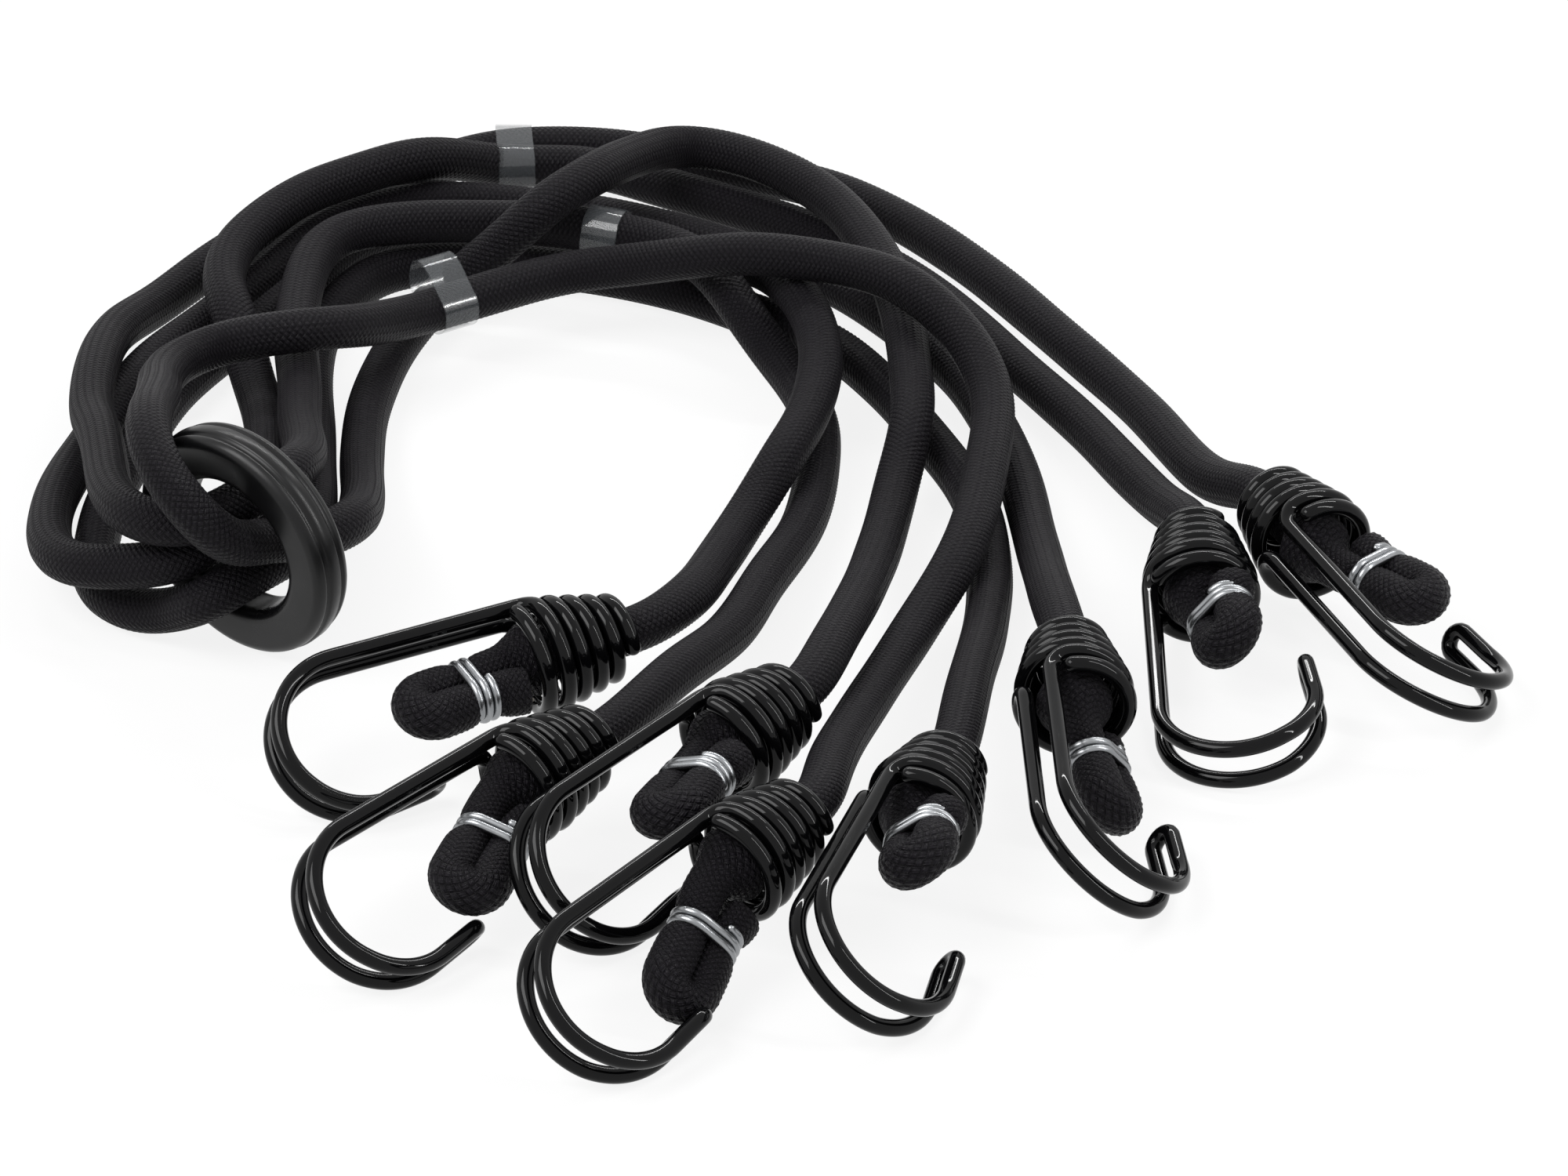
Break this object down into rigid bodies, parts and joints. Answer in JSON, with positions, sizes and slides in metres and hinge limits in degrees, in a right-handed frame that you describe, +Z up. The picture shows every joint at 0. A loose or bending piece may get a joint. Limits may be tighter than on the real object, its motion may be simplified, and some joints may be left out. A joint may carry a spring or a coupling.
{
  "type": "multi-arm bungee cord",
  "caption": "Elastic tie-down: braided cords through one ring, each end folded back, clamped and fitted with a doubled-wire hook on a narrowing coil.",
  "frame": {"origin": "on the ground under the middle of the bundle, leaving out the loose cords", "axes": "+Z up, +Y away from the hooks towards the far end of the coiled cords, +X to the right as the hooks are faced"},
  "size_m": [0.3038, 0.3885, 0.0529],
  "materials": {
    "braided_sheath": "tight black braid over an elastic core",
    "rubber_core": "cut ends of pale rubber strands",
    "hook_wire": "steel wire with a gloss black coating",
    "clamp_wire": "bright plated wire",
    "ring_plastic": "moulded black plastic, semi-gloss",
    "clear_film": "clear film, glossy"
  },
  "bodies": {
    "cords": {"cord_1": "braided_sheath", "cord_2": "braided_sheath", "cord_3": "braided_sheath", "cord_4": "braided_sheath", "folded_end_a": "braided_sheath", "core_end_a": "rubber_core", "clamp_ring_a": "clamp_wire", "folded_end_b": "braided_sheath", "core_end_b": "rubber_core", "clamp_ring_b": "clamp_wire", "folded_end_c": "braided_sheath", "core_end_c": "rubber_core", "clamp_ring_c": "clamp_wire", "folded_end_d": "braided_sheath", "core_end_d": "rubber_core", "clamp_ring_d": "clamp_wire", "folded_end_e": "braided_sheath", "core_end_e": "rubber_core", "clamp_ring_e": "clamp_wire", "folded_end_f": "braided_sheath", "core_end_f": "rubber_core", "clamp_ring_f": "clamp_wire", "folded_end_g": "braided_sheath", "core_end_g": "rubber_core", "clamp_ring_g": "clamp_wire", "folded_end_h": "braided_sheath", "core_end_h": "rubber_core", "clamp_ring_h": "clamp_wire", "clear_band_1": "clear_film", "clear_band_2": "clear_film", "clear_band_3": "clear_film"},
    "hook_a": {"hook_wire_a": "hook_wire"},
    "hook_b": {"hook_wire_b": "hook_wire"},
    "hook_c": {"hook_wire_c": "hook_wire"},
    "hook_d": {"hook_wire_d": "hook_wire"},
    "hook_e": {"hook_wire_e": "hook_wire"},
    "hook_f": {"hook_wire_f": "hook_wire"},
    "hook_g": {"hook_wire_g": "hook_wire"},
    "hook_h": {"hook_wire_h": "hook_wire"},
    "centre_ring": {"centre_ring": "ring_plastic"}
  },
  "joints": [
    {"name": "hook_a_swivel", "type": "hinge", "parent": "cords", "child": "hook_a", "pos_m": [-0.06008, -0.06305, 0.01896], "axis": [-0.9048, -0.4239, -0.0401], "range_deg": [0, 90]},
    {"name": "hook_b_swivel", "type": "hinge", "parent": "cords", "child": "hook_b", "pos_m": [-0.06088, -0.11355, 0.01976], "axis": [-0.6995, -0.7118, -0.0628], "range_deg": [0, 90]},
    {"name": "hook_c_swivel", "type": "hinge", "parent": "cords", "child": "hook_c", "pos_m": [-0.02118, -0.10285, 0.02236], "axis": [-0.6597, -0.7483, -0.0698], "range_deg": [-20, 0]},
    {"name": "hook_d_swivel", "type": "hinge", "parent": "cords", "child": "hook_d", "pos_m": [-0.01888, -0.14525, 0.02126], "axis": [-0.6522, -0.7529, -0.0889], "range_deg": [0, 45]},
    {"name": "hook_e_swivel", "type": "hinge", "parent": "cords", "child": "hook_e", "pos_m": [0.01722, -0.12375, 0.01846], "axis": [-0.3073, -0.9514, -0.0174], "range_deg": [0, 90]},
    {"name": "hook_f_swivel", "type": "hinge", "parent": "cords", "child": "hook_f", "pos_m": [0.04962, -0.08345, 0.01986], "axis": [0.0418, -0.9979, -0.0488], "range_deg": [0, 90]},
    {"name": "hook_g_swivel", "type": "hinge", "parent": "cords", "child": "hook_g", "pos_m": [0.07702, -0.02845, 0.01246], "axis": [0.0104, -0.9925, -0.1219], "range_deg": [0, 30]},
    {"name": "hook_h_swivel", "type": "hinge", "parent": "cords", "child": "hook_h", "pos_m": [0.10172, -0.01525, 0.01646], "axis": [0.4061, -0.9121, -0.0558], "range_deg": [0, 90]},
    {"name": "centre_ring_turn", "type": "hinge", "parent": "cords", "child": "centre_ring", "pos_m": [-0.11768, -0.02465, 0.02546], "axis": [0.6264, 0.7736, 0.0959], "continuous": true}
  ]
}
